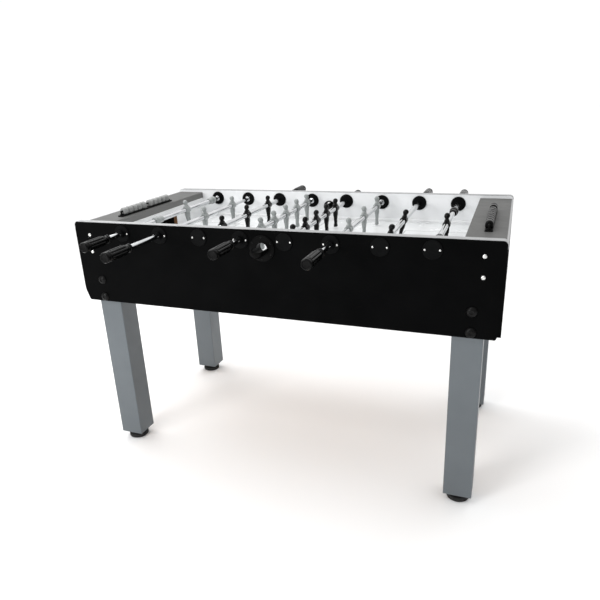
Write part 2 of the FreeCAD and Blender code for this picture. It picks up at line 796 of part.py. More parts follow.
def counter_groups(end, master):
    """Front and rear group of one scorer, with the free space between them."""
    front, rear = COUNTERS[end]
    start = f"scorer_middle - {COUNTER_REACH} + {2 * GAP}"
    places = [f"{start} + {i} * counter_pitch" for i in range(front)]
    places += [f"{start} + {i} * counter_pitch + counter_free" for i in range(front, front + rear)]
    pieces = [copy_of(master, (scorer_x(end), y, "scorer_axis")) for y in places]
    return group(pieces[:front]), group(pieces[front:])


# ---------------------------------------------------------------- the assembly

foot_master, bolt_master = foot(), leg_bolt()
flange_screw = cross_screw("flange_screw", 3.2, 1.8, 1.6, 18)
panel_screw = cross_screw("panel_screw", 6.5, 2.8, value("panel_screw_radius"), 60)
bushes = {"tube": tube_bush(), "core": core_bush()}
entry_master = ball_entry()
figure_master, collar_master, grip_master = figure(), stop_collar(), grip()
counter_master = counter()

bolts, bush_set, entries = [], [], []
screws = {FRONT: [], BACK: []}
entry_screws = {FRONT: [], BACK: []}
for side in (FRONT, BACK):
    turn = UPRIGHT if side == FRONT else HALF_TURN
    face = f"{side} * cabinet_width / 2"
    wall = f"{side} * {INNER}"
    for end in (LEFT, RIGHT):
        bolts += [copy_of(bolt_master, (f"{end} * leg_bolt", face, height), turn)
                  for height in ("leg_bolt_low", "leg_bolt_high")]
        screws[side] += [copy_of(panel_screw, (f"{end} * panel_screw", face, height), turn)
                         for height in ("panel_screw_low", "panel_screw_high")]
    entries.append(copy_of(entry_master, (0, wall, "entry_height"), turn))
    entry_face = f"{side} * (cabinet_width / 2 + entry_plate)"
    for angle in range(30, 390, 60):
        entry_screws[side].append(copy_of(flange_screw, (
            f"entry_screw * cos({angle} deg)", entry_face,
            f"entry_height + entry_screw * sin({angle} deg)"), turn))
    for number, (figures, grip_side, offset, tilt) in enumerate(RODS):
        x = f"{number - 3.5} * rod_pitch"
        kind = "tube" if side == grip_side else "core"
        bush_set.append(copy_of(bushes[kind], (x, wall, "rod_height"), turn))
        disc_face = f"{side} * (cabinet_width / 2 + outer_disc)"
        screws[side] += [copy_of(flange_screw, (f"{x} + {hand} * flange_screw", disc_face,
                                                "rod_height"), turn) for hand in (-1, 1)]

bright_screws = group(screws[FRONT] + screws[BACK])
dark_screws = group(entry_screws[FRONT] + entry_screws[BACK])
fixings = {side: group(screws[side] + entry_screws[side]) for side in (FRONT, BACK)}
strips = {side: rim_strip(side) for side in (FRONT, BACK)}
sub_part(side_panel(FRONT, strips[FRONT], fixings[FRONT]), "front_panel")
sub_part(side_panel(BACK, strips[BACK], fixings[BACK]), "back_panel")
sub_part(end_panel(LEFT), "left_end_panel")
sub_part(end_panel(RIGHT), "right_end_panel")
sub_part(group([*strips.values(), lip_strip(LEFT), lip_strip(RIGHT)]), "rim_trims")
sub_part(bottom_board(), "bottom_board")
sub_part(block(("field_length + 2 * goal_board", f"2 * {INNER}", "bed_thickness"),
               ("-field_length / 2 - goal_board", "-" + INNER,
                "field_height - glass_thickness - bed_thickness")), "playfield_bed")
sub_part(block(("field_length", f"2 * {INNER}", "glass_thickness"),
               ("-field_length / 2", "-" + INNER, "field_height - glass_thickness")),
         "playfield_glass")
sub_part(group([field_strip(FRONT), field_strip(BACK)]), "field_strips")
sub_part(batten_set(bright_screws), "battens")
sub_part(group([goal_wall(LEFT), goal_wall(RIGHT)]), "goal_walls")
sub_part(group([goal_tray(LEFT), goal_tray(RIGHT)]), "goal_trays")
sub_part(group([end_cover(LEFT), end_cover(RIGHT)]), "end_covers")
sub_part(group([leg(end, side) for end in (LEFT, RIGHT) for side in (FRONT, BACK)]), "legs")

for end, end_name in ((LEFT, "left"), (RIGHT, "right")):
    for side, side_name in ((FRONT, "front"), (BACK, "back")):
        spot = (f"{end} * (leg_outer - leg_width / 2)",
                f"{side} * (cabinet_width / 2 - leg_setback - leg_depth / 2)", 0)
        sub_part(copy_of(foot_master, spot), f"foot_{side_name}_{end_name}")

sub_part(group([*bolts, dark_screws]), "dark_fasteners")
sub_part(bright_screws, "bright_screws")
sub_part(cut(group(bush_set), bright_screws), "rod_bushes")
sub_part(cut(group(entries), dark_screws), "ball_entries")

masters = {n: {"core": core(n), "tube": tube(n),
               "players": figures_of(n, figure_master, collar_master)}
           for n in FIGURE_SPACING}
for number, (figures, side, offset, tilt) in enumerate(RODS):
    lean = FreeCAD.Rotation(FreeCAD.Vector(0, 1, 0), tilt)
    turn = UPRIGHT if side == FRONT else HALF_TURN
    far = HALF_TURN if side == FRONT else UPRIGHT
    x, label = f"{number - 3.5} * rod_pitch", f"rod_{number + 1}"
    spot = (x, offset, "rod_height")
    set_of = masters[figures]
    sub_part(copy_of(set_of["core"], (x, f"{-side} * {INNER}", "rod_height"), far), label + "_core")
    sub_part(copy_of(set_of["tube"], spot, turn), label + "_tube")
    sub_part(copy_of(set_of["players"], spot, lean.multiply(turn)), label + "_players")
    neck = f"{offset} + {side * NECK_DISTANCE[figures]}"
    sub_part(copy_of(grip_master, (x, neck, "rod_height"), turn), label + "_grip")

sub_part(group([scorer_rail(LEFT), scorer_rail(RIGHT)]), "scorer_rails")
sub_part(group([scorer_wire(LEFT), scorer_wire(RIGHT)]), "scorer_wires")
for end, end_name in ((LEFT, "left"), (RIGHT, "right")):
    for place, counters in zip(("front", "rear"), counter_groups(end, counter_master)):
        sub_part(counters, f"counters_{end_name}_{place}")

# ---------------------------------------------------------------- checks and files

doc.recompute()
for thing in doc.Objects:
    assert not {"Invalid", "Error"} & set(thing.State), (thing.Name, thing.Label, thing.State)
for thing in sub_parts:
    assert not thing.Shape.isNull() and thing.Shape.isValid(), thing.Label
    assert thing.Shape.Solids and thing.Shape.Volume > 0, thing.Label
for thing in sub_parts:
    thing.Shape.exportStep(os.path.join("parts", thing.Label + ".step"))
print(len(sub_parts), "sub-parts")
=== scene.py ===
import math

import bmesh
import bpy
from mathutils import Matrix, Vector


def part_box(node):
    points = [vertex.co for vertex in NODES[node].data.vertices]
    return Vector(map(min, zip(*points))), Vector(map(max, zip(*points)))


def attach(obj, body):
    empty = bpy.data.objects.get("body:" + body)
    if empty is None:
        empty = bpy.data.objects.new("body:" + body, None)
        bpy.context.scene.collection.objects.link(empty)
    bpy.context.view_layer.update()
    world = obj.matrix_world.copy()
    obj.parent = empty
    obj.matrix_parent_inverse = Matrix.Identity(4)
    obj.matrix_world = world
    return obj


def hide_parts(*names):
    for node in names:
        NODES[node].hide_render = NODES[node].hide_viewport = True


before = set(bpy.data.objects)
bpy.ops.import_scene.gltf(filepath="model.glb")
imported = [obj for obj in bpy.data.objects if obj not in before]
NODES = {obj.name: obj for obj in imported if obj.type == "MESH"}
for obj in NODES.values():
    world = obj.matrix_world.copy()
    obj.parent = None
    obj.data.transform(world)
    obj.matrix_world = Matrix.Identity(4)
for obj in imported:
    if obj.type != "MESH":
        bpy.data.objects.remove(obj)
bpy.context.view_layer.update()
MM = 0.001
FRONT, BACK = -1, 1

# ---------------------------------------------------------------- the frame's own places

INNER_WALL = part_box("playfield_glass")[1].y         # inner faces of the side panels
END_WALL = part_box("goal_trays")[1].x                # inner faces of the end panels
TUBE_RADIUS = 9
ROD_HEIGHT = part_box("rod_1_tube")[0].z + TUBE_RADIUS * MM
RODS = range(1, 9)

# Figures on each rod, the distance between them by their number, and how many degrees a
# rod's figures lean out of plumb. Stop collars stand this far from a goalkeeper.
FIGURE_COUNT = {1: 1, 2: 2, 3: 3, 4: 5, 5: 5, 6: 3, 7: 2, 8: 1}
FIGURE_SPACING = {1: 0.0, 2: 0.2326, 3: 0.201, 5: 0.115}
FIGURE_LEAN = {1: -6, 7: 12}
COLLAR_OFFSET = 0.204


def rod_x(number):
    low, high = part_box(f"rod_{number}_tube")
    return (low.x + high.x) / 2


def grip_side(number):
    """FRONT or BACK: the side of the table where the rod's grip stands."""
    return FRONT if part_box(f"rod_{number}_grip")[0].y < 0 else BACK


# ---------------------------------------------------------------- materials

class Paint:
    """A procedural material. Its textures follow the piece's own coordinates, in metres."""

    def __init__(self, name, color, roughness, metallic=0.0, specular=0.5):
        self.material = bpy.data.materials.new(name)
        self.material.use_nodes = True
        self.tree = self.material.node_tree
        self.shader = self.tree.nodes["Principled BSDF"]
        self.set("Base Color", (*color, 1))
        self.set("Roughness", roughness)
        self.set("Metallic", metallic)
        self.set("Specular IOR Level", specular)
        self.place = self.tree.nodes.new("ShaderNodeTexCoord").outputs["Object"]

    def plug(self, socket, value):
        if isinstance(value, bpy.types.NodeSocket):
            self.tree.links.new(value, socket)
        else:
            socket.default_value = value

    def set(self, name, value):
        self.plug(self.shader.inputs[name], value)

    def add(self, kind, inputs, **settings):
        node = self.tree.nodes.new("ShaderNode" + kind)
        for name, value in settings.items():
            setattr(node, name, value)
        for key, value in inputs.items():
            self.plug(node.inputs[key], value)
        return node

    def math(self, operation, *values):
        return self.add("Math", dict(enumerate(values)), operation=operation).outputs[0]

    def axes(self):
        """The x, y and z of a point, as three sockets."""
        return self.add("SeparateXYZ", {0: self.place}).outputs

    def facing(self):
        """The x, y and z of the surface's normal, as three sockets."""
        normal = self.tree.nodes.new("ShaderNodeNewGeometry").outputs["Normal"]
        return self.add("SeparateXYZ", {0: normal}).outputs

    def grain(self, size, detail=2.0, stretch=(1, 1, 1)):
        """Noise from 0 to 1 with features about size metres across."""
        scaled = self.add("Mapping", {"Vector": self.place, "Scale": stretch}).outputs[0]
        noise = self.add("TexNoise", {"Vector": scaled, "Scale": 1 / size, "Detail": detail})
        return noise.outputs[0]

    def span(self, value, low, high, start=0.3, end=0.7):
        """Stretch part of a value's range over low to high."""
        return self.add("MapRange", {"Value": value, "From Min": start, "From Max": end,
                                     "To Min": low, "To Max": high}).outputs[0]

    def blend(self, factor, first, second):
        """Colour between two colours."""
        mix = self.add("Mix", {0: factor}, data_type="RGBA")
        for index, color in ((6, first), (7, second)):
            self.plug(mix.inputs[index], color if hasattr(color, "node") else (*color, 1))
        return mix.outputs[2]

    def edges(self, radius, start=0.02, end=0.35):
        """About 1 within radius of a sharp edge, and 0 elsewhere."""
        rounded = self.add("Bevel", {"Radius": radius}, samples=4).outputs[0]
        flat = self.tree.nodes.new("ShaderNodeNewGeometry").outputs["Normal"]
        same = self.add("VectorMath", {0: rounded, 1: flat}, operation="DOT_PRODUCT")
        return self.span(self.math("SUBTRACT", 1.0, same.outputs["Value"]), 0, 1, start, end)

    def relief(self, *layers):
        """Bump from (height, metres) layers."""
        normal = None
        for height, depth in layers:
            inputs = {"Height": height, "Distance": depth, "Strength": 1.0}
            if normal is not None:
                inputs["Normal"] = normal
            normal = self.add("Bump", inputs).outputs[0]
        self.set("Normal", normal)


def worn(paint, base, edge, radius):
    """Base colour that lightens along the edges, unevenly."""
    patches = paint.span(paint.grain(0.012, 4), 0, 0.6, 0.4, 0.62)
    return paint.blend(paint.math("MULTIPLY", paint.edges(radius), patches), base, edge)


def laminate_board(name, axis, inner):
    """Black laminate outside, white laminate on the faces that look into the cabinet."""
    paint = Paint(name, (0.01,) * 3, 0.5, specular=0.024)
    depth = paint.math("ABSOLUTE", paint.axes()[axis])
    inside = paint.math("LESS_THAN", depth, inner + 0.4 * MM)
    cloud = paint.grain(0.09, 4)
    black = paint.blend(paint.span(cloud, 0, 1), (0.0010, 0.0011, 0.0012), (0.0019, 0.0020, 0.0021))
    rubbed = paint.span(paint.grain(0.015, 4), 0, 0.3, 0.42, 0.62)
    rubbed = paint.math("MULTIPLY", paint.edges(0.8 * MM), rubbed)
    black = paint.blend(rubbed, black, (0.02, 0.02, 0.02))
    white = paint.blend(paint.span(cloud, 0, 1), (0.83, 0.84, 0.85), (0.87, 0.88, 0.89))
    paint.set("Base Color", paint.blend(inside, black, white))
    smudge = paint.math("ADD", paint.span(paint.grain(0.16, 5), 0.0, 0.14),
                        paint.span(paint.grain(0.004, 2), 0.0, 0.05))
    paint.set("Roughness", paint.math("ADD", smudge, paint.span(inside, 0.40, 0.26, 0, 1)))
    paint.relief((paint.grain(0.9 * MM, 3), 0.012 * MM), (paint.grain(0.02, 2), 0.05 * MM))
    return paint.material


def silver_edging():
    """Satin silver edge strip, finely brushed along the table."""
    paint = Paint("silver_edging", (0.6, 0.61, 0.62), 0.34, metallic=0.85)
    brushed = paint.grain(0.5 * MM, 3, (0.03, 1, 1))
    tone = paint.blend(paint.span(brushed, 0, 1), (0.31, 0.315, 0.32), (0.38, 0.385, 0.39))
    scuffs = paint.span(paint.grain(0.02, 5), 0, 0.5, 0.56, 0.7)
    paint.set("Base Color", paint.blend(scuffs, tone, (0.42, 0.43, 0.43)))
    paint.set("Roughness", paint.span(brushed, 0.27, 0.42))
    paint.relief((brushed, 0.01 * MM))
    return paint.material


def raw_board():
    """Plain birch board: long figure, fine pores, darker rings."""
    paint = Paint("raw_board", (0.4, 0.25, 0.14), 0.62, specular=0.3)
    figure = paint.grain(0.03, 5, (0.12, 1, 1))
    pores = paint.grain(1.2 * MM, 3, (0.06, 1, 1))
    wood = paint.blend(paint.span(figure, 0, 1), (0.47, 0.31, 0.18), (0.30, 0.175, 0.09))
    paint.set("Base Color", paint.blend(paint.span(pores, 0, 0.45), wood, (0.16, 0.085, 0.04)))
    paint.set("Roughness", paint.span(pores, 0.52, 0.72))
    paint.relief((pores, 0.05 * MM))
    return paint.material


HALF_LINE, CIRCLE_RADIUS = 1.1 * MM, 0.1
GOAL_AREAS = ((0.35, 0.185), (0.475, 0.115))   # from the middle of the field, and half across


def frosted_field():
    """White frosted glass with fine printed pitch lines."""
    paint = Paint("frosted_field", (0.9, 0.91, 0.91), 0.22)
    x, y = paint.axes()[:2]
    across, along = paint.math("ABSOLUTE", y), paint.math("ABSOLUTE", x)

    def near(value, centre):
        return paint.math("LESS_THAN", paint.math(
            "ABSOLUTE", paint.math("SUBTRACT", value, centre)), HALF_LINE)

    def bar(value, centre, limit_of, limit):
        return paint.math("MULTIPLY", near(value, centre), paint.math("LESS_THAN", limit_of, limit))

    def edge(value, centre, limit_of, start):
        return paint.math("MULTIPLY", near(value, centre),
                          paint.math("GREATER_THAN", limit_of, start))

    radius = paint.math("SQRT", paint.math("ADD", paint.math("MULTIPLY", x, x),
                                           paint.math("MULTIPLY", y, y)))
    lines = [near(along, 0.0), near(radius, CIRCLE_RADIUS)]
    for reach, width in GOAL_AREAS:
        lines.append(bar(along, reach, across, width + HALF_LINE))
        lines.append(edge(across, width, along, reach - HALF_LINE))
    marks = lines[0]
    for line in lines[1:]:
        marks = paint.math("MAXIMUM", marks, line)
    cloud = paint.span(paint.grain(0.12, 4), 0, 1)
    white = paint.blend(cloud, (0.75, 0.765, 0.77), (0.80, 0.81, 0.815))
    traces = paint.span(paint.grain(0.006, 4, (0.15, 1, 1)), 0, 0.12, 0.6, 0.75)
    white = paint.blend(traces, white, (0.55, 0.56, 0.56))
    paint.set("Base Color", paint.blend(marks, white, (0.15, 0.16, 0.16)))
    paint.set("Roughness", paint.span(paint.grain(0.05, 5), 0.16, 0.30))
    paint.relief((paint.grain(0.7 * MM, 2), 0.006 * MM))
    return paint.material


def white_laminate():
    """Satin white laminate; the sawn edges of the boards show brown."""
    paint = Paint("white_laminate", (0.87, 0.88, 0.88), 0.34)
    cloud = paint.span(paint.grain(0.08, 4), 0, 1)
    tone = paint.blend(cloud, (0.82, 0.83, 0.835), (0.87, 0.875, 0.88))
    marks = paint.span(paint.grain(0.01, 5, (1, 0.3, 1)), 0, 0.25, 0.6, 0.75)
    paint.set("Base Color", paint.blend(marks, tone, (0.6, 0.6, 0.59)))
    paint.set("Roughness", paint.span(paint.grain(0.04, 4), 0.28, 0.42))
    paint.relief((paint.grain(0.8 * MM, 3), 0.012 * MM))
    return paint.material


GOAL_BOARD_TOP = 0.85   # the sawn edges below this height are the goal mouth's


def goal_board():
    """White laminate board whose sawn edge round the goal mouth is bare brown board."""
    paint = Paint("goal_board", (0.87, 0.88, 0.88), 0.36)
    height = paint.axes()[2]
    sawn = paint.math("LESS_THAN", paint.math("ABSOLUTE", paint.facing()[0]), 0.5)
    below_top = paint.math("LESS_THAN", height, GOAL_BOARD_TOP)
    sawn = paint.math("MULTIPLY", sawn, below_top)
    cloud = paint.span(paint.grain(0.08, 4), 0, 1)
    white = paint.blend(cloud, (0.82, 0.83, 0.835), (0.87, 0.875, 0.88))
    fibre = paint.span(paint.grain(1.5 * MM, 4), 0, 1)
    brown = paint.blend(fibre, (0.18, 0.085, 0.035), (0.34, 0.18, 0.085))
    paint.set("Base Color", paint.blend(sawn, white, brown))
    paint.set("Roughness", paint.math("ADD", paint.span(sawn, 0.0, 0.3, 0, 1),
                                      paint.span(paint.grain(0.04, 4), 0.28, 0.42)))
    paint.relief((paint.grain(0.9 * MM, 3), 0.02 * MM))
    return paint.material


def cover_laminate():
    """Dark grey, finely mottled matt laminate, with painted light on its upright faces: they get a
    lighter grey than the top, to make up for the shade they stand in.
    """
    paint = Paint("cover_laminate", (0.17, 0.17, 0.165), 0.5, specular=0.14)
    speck = paint.span(paint.grain(1.1 * MM, 3), 0, 1)
    cloud = paint.span(paint.grain(0.14, 4), 0, 1)
    tone = paint.blend(cloud, (0.080, 0.081, 0.079), (0.090, 0.090, 0.087))
    # Painted light: faces standing upright are painted a lighter grey, in place of the light they
    # don't receive.
    painted_light_upright = paint.math("LESS_THAN", paint.math("ABSOLUTE", paint.facing()[2]), 0.5)
    tone = paint.blend(painted_light_upright, tone, (0.19, 0.19, 0.186))
    tone = paint.blend(paint.math("MULTIPLY", speck, 0.28), tone, (0.17, 0.17, 0.166))
    paint.set("Base Color", worn(paint, tone, (0.3, 0.3, 0.29), 1.2 * MM))
    paint.set("Roughness", paint.span(paint.grain(0.03, 4), 0.48, 0.56))
    paint.relief((paint.grain(0.7 * MM, 3), 0.015 * MM))
    return paint.material


def leg_lacquer():
    """Metallic grey lacquer over board: metal flake, a little orange peel, rubbed edges."""
    paint = Paint("leg_lacquer", (0.2, 0.21, 0.22), 0.42, metallic=0.35, specular=0.5)
    flake = paint.span(paint.grain(0.5 * MM, 2), 0, 1, 0.45, 0.72)
    cloud = paint.span(paint.grain(0.2, 4), 0, 1)
    tone = paint.blend(cloud, (0.110, 0.125, 0.136), (0.131, 0.148, 0.160))
    tone = paint.blend(paint.math("MULTIPLY", flake, 0.35), tone, (0.21, 0.23, 0.243))
    paint.set("Base Color", worn(paint, tone, (0.32, 0.33, 0.33), 1.6 * MM))
    paint.set("Roughness", paint.math("ADD", paint.span(flake, 0.0, -0.08, 0, 1),
                                      paint.span(paint.grain(0.06, 4), 0.36, 0.5)))
    paint.relief((paint.grain(2.4 * MM, 2), 0.025 * MM), (paint.grain(0.05, 3), 0.12 * MM))
    return paint.material


def moulded(name, dark, light, roughness, specular=0.4, grain=0.35, texture=0.02, edge=None):
    """Moulded plastic: fine grain, faint flow marks and rubbed edges."""
    paint = Paint(name, dark, roughness, specular=specular)
    flow = paint.span(paint.grain(0.018, 4), 0, 1)
    tone = paint.blend(flow, dark, light)
    paint.set("Base Color", worn(paint, tone, edge or tuple(2.2 * c + 0.015 for c in light),
                                 0.6 * MM))
    handled = paint.span(paint.grain(0.03, 4), roughness - 0.06, roughness + 0.1)
    paint.set("Roughness", handled)
    paint.relief((paint.grain(grain * MM, 2), texture * MM), (paint.grain(0.008, 2), 0.03 * MM))
    return paint.material


def rubber():
    """Black rubber, dusty and a little grey where it is rubbed."""
    paint = Paint("foot_rubber", (0.014,) * 3, 0.7, specular=0.3)
    dust = paint.span(paint.grain(0.01, 5), 0, 0.6, 0.45, 0.7)
    tone = paint.blend(dust, (0.012, 0.012, 0.012), (0.045, 0.044, 0.042))
    paint.set("Base Color", worn(paint, tone, (0.1, 0.1, 0.098), 0.8 * MM))
    paint.set("Roughness", paint.span(paint.grain(0.006, 4), 0.6, 0.85))
    paint.relief((paint.grain(0.6 * MM, 3), 0.04 * MM))
    return paint.material


def polished_chrome():
    """Chromed steel tube with fine marks along its length from sliding."""
    paint = Paint("polished_chrome", (0.78, 0.79, 0.8), 0.12, metallic=1.0)
    drawn = paint.grain(0.5 * MM, 3, (1, 0.02, 1))
    rubbed = paint.span(paint.grain(0.05, 4), 0, 1)
    paint.set("Base Color", paint.blend(rubbed, (0.50, 0.51, 0.52), (0.62, 0.63, 0.64)))
    paint.set("Roughness", paint.math("ADD", paint.span(drawn, 0.05, 0.12),
                                      paint.span(rubbed, 0.0, 0.08, 0, 1)))
    paint.relief((drawn, 0.004 * MM))
    return paint.material


def zinc():
    """Bright zinc-plated steel, faintly mottled."""
    paint = Paint("bright_zinc", (0.74, 0.74, 0.73), 0.28, metallic=1.0)
    spangle = paint.span(paint.grain(0.9 * MM, 3), 0, 1)
    paint.set("Base Color", paint.blend(spangle, (0.66, 0.66, 0.65), (0.82, 0.82, 0.8)))
    paint.set("Roughness", paint.span(spangle, 0.2, 0.36, 0, 1))
    paint.relief((paint.grain(0.3 * MM, 2), 0.008 * MM))
    return paint.material


MATERIALS = {
    "side_board": laminate_board("side_board", 1, INNER_WALL),
    "end_board": laminate_board("end_board", 0, END_WALL),
    "silver": silver_edging(),
    "board": raw_board(),
    "field": frosted_field(),
    "white": white_laminate(),
    "goal": goal_board(),
    "cover": cover_laminate(),
    "leg": leg_lacquer(),
    "bush": moulded("bush_black", (0.0022, 0.0023, 0.0025), (0.0034, 0.0036, 0.0038), 0.42, 0.04),
    "entry": moulded("entry_black", (0.0012,) * 3, (0.0022,) * 3, 0.36, 0.06, 1.2, 0.05),
    "tray": moulded("tray_black", (0.004, 0.003, 0.0025), (0.010, 0.007, 0.005), 0.7, 0.1, 1.0, 0.05),
    "scorer": moulded("scorer_black", (0.003,) * 3, (0.005,) * 3, 0.4, 0.1),
    "gloss_black": moulded("player_black", (0.0014,) * 3, (0.0026,) * 3, 0.22, 0.13, 0.8, 0.008),
    "grey": moulded("player_grey", (0.25, 0.268, 0.265), (0.30, 0.318, 0.314), 0.28, 0.5, 0.8,
                    0.01, edge=(0.42, 0.44, 0.43)),
    "grip": moulded("grip_black", (0.0012, 0.0013, 0.0013), (0.0022, 0.0023, 0.0023), 0.2, 0.1),
    "counter_grey": moulded("counter_grey", (0.27, 0.275, 0.27), (0.33, 0.335, 0.33), 0.32,
                            edge=(0.45, 0.45, 0.45)),
    "counter_black": moulded("counter_black", (0.002,) * 3, (0.004,) * 3, 0.26, 0.12),
    "cap": moulded("cap_black", (0.0016,) * 3, (0.003,) * 3, 0.3, 0.14),
    "rubber": rubber(),
    "chrome": polished_chrome(),
    "zinc": zinc(),
}

# ---------------------------------------------------------------- CAD nodes that still show

FINISHES = {
    "side_board": ["front_panel", "back_panel"],
    "end_board": ["left_end_panel", "right_end_panel"],
    "silver": ["rim_trims"],
    "board": ["bottom_board", "playfield_bed", "battens"],
    "tray": ["goal_trays"],
    "field": ["playfield_glass"],
    "white": ["field_strips"],
    "goal": ["goal_walls"],
    "cover": ["end_covers"],
    "leg": ["legs"],
    "bush": ["rod_bushes"],
    "entry": ["ball_entries"],
    "scorer": ["scorer_rails"],
    "chrome": [f"rod_{n}_{part}" for n in RODS for part in ("core", "tube")],
}
for finish, names in FINISHES.items():
    for name in names:
        for slot in NODES[name].material_slots:
            slot.material = MATERIALS[finish]

# Small rounded edges that catch the light, in millimetres.
EDGE_ROUNDING = {"end_covers": 0.6, "legs": 0.8, "goal_walls": 0.8, "rod_bushes": 0.35,
                 "left_end_panel": 0.6, "right_end_panel": 0.6, "scorer_rails": 0.6}


# ---------------------------------------------------------------- new pieces

def new_piece(name, mesh, material, body, slot, *replaced, sharp=35):
    """Put a mesh, already in its place, on a body in the place of CAD nodes."""
    mesh.materials.clear()
    mesh.materials.append(MATERIALS[material])
    mesh.shade_smooth()
    mesh.set_sharp_from_angle(angle=math.radians(sharp))
    piece = bpy.data.objects.new(name, mesh)
    bpy.context.scene.collection.objects.link(piece)
    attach(piece, body)
    if replaced:
        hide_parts(*replaced)
    return piece


def mesh_of(name, build):
    mesh = bpy.data.meshes.new(name)
    form = bmesh.new()
    build(form)
    bmesh.ops.recalc_face_normals(form, faces=form.faces)
    form.to_mesh(mesh)
    form.free()
    return mesh


def skin(form, rings, closed_start=True, closed_end=True):
    """Faces between rings of points, each ring with as many points as the others."""
    loops = [[form.verts.new(p) for p in ring] for ring in rings]
    for near, far in zip(loops, loops[1:]):
        count = len(near)
        for i in range(count):
            form.faces.new((near[i], near[(i + 1) % count], far[(i + 1) % count], far[i]))
    for wanted, loop in ((closed_start, loops[0]), (closed_end, loops[-1])):
        if wanted:
            form.faces.new(loop)
    return loops


def lathe(form, profile, sides, swell=None):
    """Turn (radius, height) points about Z. swell(angle, height) is added to the radius."""
    rings = []
    for radius, height in profile:
        ring = []
        for i in range(sides):
            angle = 2 * math.pi * i / sides
            reach = radius + (swell(angle, height) if swell else 0)
            ring.append((reach * math.cos(angle), reach * math.sin(angle), height))
        rings.append(ring)
    skin(form, rings)


def smooth_line(points, steps):
    """Points on a Catmull-Rom curve through the given ones."""
    padded = [points[0], *points, points[-1]]
    line = []
    for a, b, c, d in zip(padded, padded[1:], padded[2:], padded[3:]):
        for i in range(steps):
            t = i / steps
            line.append(tuple(0.5 * (2 * q + (r - p) * t + (2 * p - 5 * q + 4 * r - s) * t * t
                                     + (3 * q - p - 3 * r + s) * t ** 3)
                              for p, q, r, s in zip(a, b, c, d)))
    return line + [tuple(points[-1])]


def scaled(points, size=MM):
    return [tuple(size * value for value in point) for point in points]


# ---------------------------------------------------------------- players

def oval_ring(centre, half_x, half_y, power=2.0, count=28):
    """Level ring between an ellipse, power 2, and a rounded box, power 4 or more."""
    ring = []
    for i in range(count):
        angle = 2 * math.pi * i / count
        c, s = math.cos(angle), math.sin(angle)
        ring.append((centre[0] + half_x * math.copysign(abs(c) ** (2 / power), c),
                     centre[1] + half_y * math.copysign(abs(s) ** (2 / power), s), centre[2]))
    return ring


def oval_loft(form, sections):
    """Solid through sections (x, y, z, half x, half y, power), in millimetres."""
    skin(form, [scaled(oval_ring(s[:3], s[3], s[4], s[5])) for s in smooth_line(sections, 4)])


def ellipsoid(form, centre, radii):
    matrix = Matrix.Translation(Vector(centre) * MM) @ Matrix.Diagonal(
        (*(r * MM for r in radii), 1))
    bmesh.ops.create_uvsphere(form, u_segments=24, v_segments=16, radius=1, matrix=matrix)


def cylinder(form, radius, start, end):
    """Closed cylinder between two points, in millimetres."""
    a, b = Vector(start) * MM, Vector(end) * MM
    turn = (b - a).to_track_quat("Z", "Y").to_matrix().to_4x4()
    bmesh.ops.create_cone(form, cap_ends=True, segments=40, radius1=radius * MM,
                          radius2=radius * MM, depth=(b - a).length,
                          matrix=Matrix.Translation((a + b) / 2) @ turn)


TORSO = ((0, 0, 20.5, 4.2, 7.5, 2.2), (0, 0, 18.5, 6.2, 11.4, 2.4), (0, 0, 14, 8.2, 13.2, 2.6),
         (0, 0, 6, 9.8, 13.0, 2.7), (0, 0, -4, 9.9, 12.2, 2.7), (0, 0, -12, 9.2, 11.6, 2.7),
         (0, 0, -20, 8.8, 11.4, 2.7), (0, 0, -28, 8.2, 11.2, 2.8), (0, 0, -30, 7.2, 10.0, 2.8))
LEG = ((0, 5.4, -24, 7.0, 5.8, 2.3), (0, 5.1, -36, 6.0, 5.1, 2.3), (0.3, 4.8, -45, 5.3, 4.7, 2.3),
       (-0.4, 4.7, -54, 5.2, 4.6, 2.3), (0, 4.6, -62, 4.8, 4.6, 2.3))
ARM = ((0, 12.0, 16.5, 4.2, 2.5, 2.0), (0, 12.4, 9, 4.2, 2.5, 2.0), (1, 12.0, -4, 3.6, 2.6, 2.0),
       (2.6, 11.3, -15, 3.2, 2.5, 2.0), (3.4, 10.8, -21, 2.8, 2.3, 2.0))
FOOT = ((0, 0, -54, 4.8, 8.6, 2.8), (0, 0, -60, 5.4, 9.3, 3.2), (0, 0, -65, 6.2, 10.2, 4.0),
        (0, 0, -71, 6.5, 10.8, 4.5), (0, 0, -72, 6.1, 10.4, 4.5))


def figure_form(form):
    oval_loft(form, TORSO)
    oval_loft(form, FOOT)
    for side in (-1, 1):
        for limb in (LEG, ARM):
            oval_loft(form, [(s[0], side * s[1], *s[2:]) for s in limb])
        ellipsoid(form, (-0.6, side * 8.9, 27.4), (1.7, 1.0, 2.6))
    cylinder(form, 12.6, (0, -13.6, 0), (0, 13.6, 0))
    cylinder(form, 4.6, (0, 0, 14), (0.6, 0, 24))
    ellipsoid(form, (0.3, 0, 28.2), (9.0, 8.6, 10.8))
    ellipsoid(form, (-1.0, 0, 30.0), (9.0, 9.2, 9.0))
    ellipsoid(form, (2.4, 0, 23.2), (6.0, 5.6, 5.4))
    ellipsoid(form, (8.4, 0, 27.2), (1.7, 1.2, 2.6))
    ellipsoid(form, (7.0, 0, 30.4), (1.7, 4.6, 1.0))
    ellipsoid(form, (7.2, 0, 22.6), (1.1, 2.3, 0.7))


def applied(piece):
    """The piece's mesh with its modifiers applied. The piece itself is removed."""
    graph = bpy.context.evaluated_depsgraph_get()
    mesh = bpy.data.meshes.new_from_object(piece.evaluated_get(graph), depsgraph=graph)
    bpy.data.objects.remove(piece)
    return mesh


def loose(name, mesh):
    piece = bpy.data.objects.new(name, mesh)
    bpy.context.scene.collection.objects.link(piece)
    return piece


